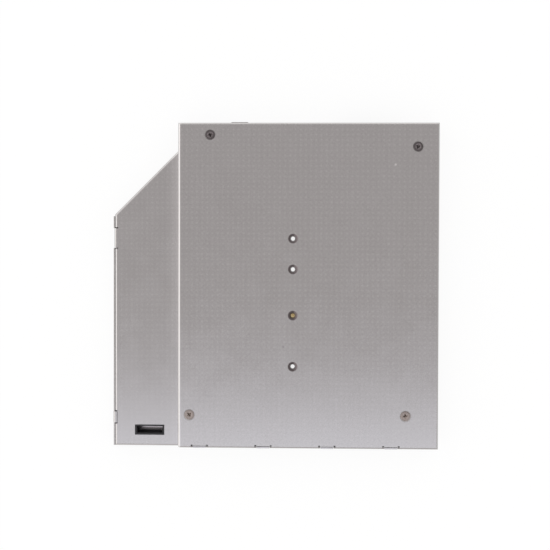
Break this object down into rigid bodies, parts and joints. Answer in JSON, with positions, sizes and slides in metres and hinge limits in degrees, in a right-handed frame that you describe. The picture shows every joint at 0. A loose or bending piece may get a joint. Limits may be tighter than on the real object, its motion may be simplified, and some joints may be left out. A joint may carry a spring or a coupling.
{
  "type": "laptop drive caddy",
  "caption": "Thin stepped metal caddy that carries a bare card drive in a laptop's slim optical-drive bay, with adapter board, rear plug and card window.",
  "frame": {"origin": "middle of the bounding box in plan, on the flat cover's outer face", "axes": "+X from the thin wing to the full-height side, +Y from the bezel end to the plug end, +Z from the flat cover to the stepped case"},
  "size_m": [0.128, 0.128, 0.0127],
  "materials": {
    "case_sheet": "satin sheet with rolled edges",
    "cover_sheet": "satin sheet",
    "screw_steel": "dark zinc plated",
    "post_steel": "plated",
    "brass": "turned",
    "black_plastic": "moulded",
    "board": "solder mask",
    "film": "smooth film",
    "contact_gold": "gold flash",
    "tinned": "tinned",
    "ferrite": "fired block",
    "tantalum": "moulded",
    "ceramic": "fired",
    "resistor": "fired",
    "light_lens": "clear moulding"
  },
  "bodies": {
    "root": {"stepped_case": "case_sheet", "flat_cover": "cover_sheet", "bezel_clip_block": "black_plastic", "case_screws": "screw_steel", "front_posts": "post_steel", "rear_posts": "post_steel", "board_spacers": "post_steel", "adapter_board": "board", "insulation_film": "film", "drive_plug_body": "black_plastic", "drive_plug_contacts": "contact_gold", "drive_plug_nails": "tinned", "card_socket_body": "black_plastic", "card_socket_contacts": "contact_gold", "card_socket_nails": "tinned", "card_standoff": "brass", "card_screw": "screw_steel", "voltage_regulator": "black_plastic", "regulator_leads": "tinned", "power_inductor": "ferrite", "tantalum_capacitors": "tantalum", "ceramic_capacitors": "ceramic", "chip_resistors": "resistor", "activity_light": "light_lens"}
  },
  "joints": []
}
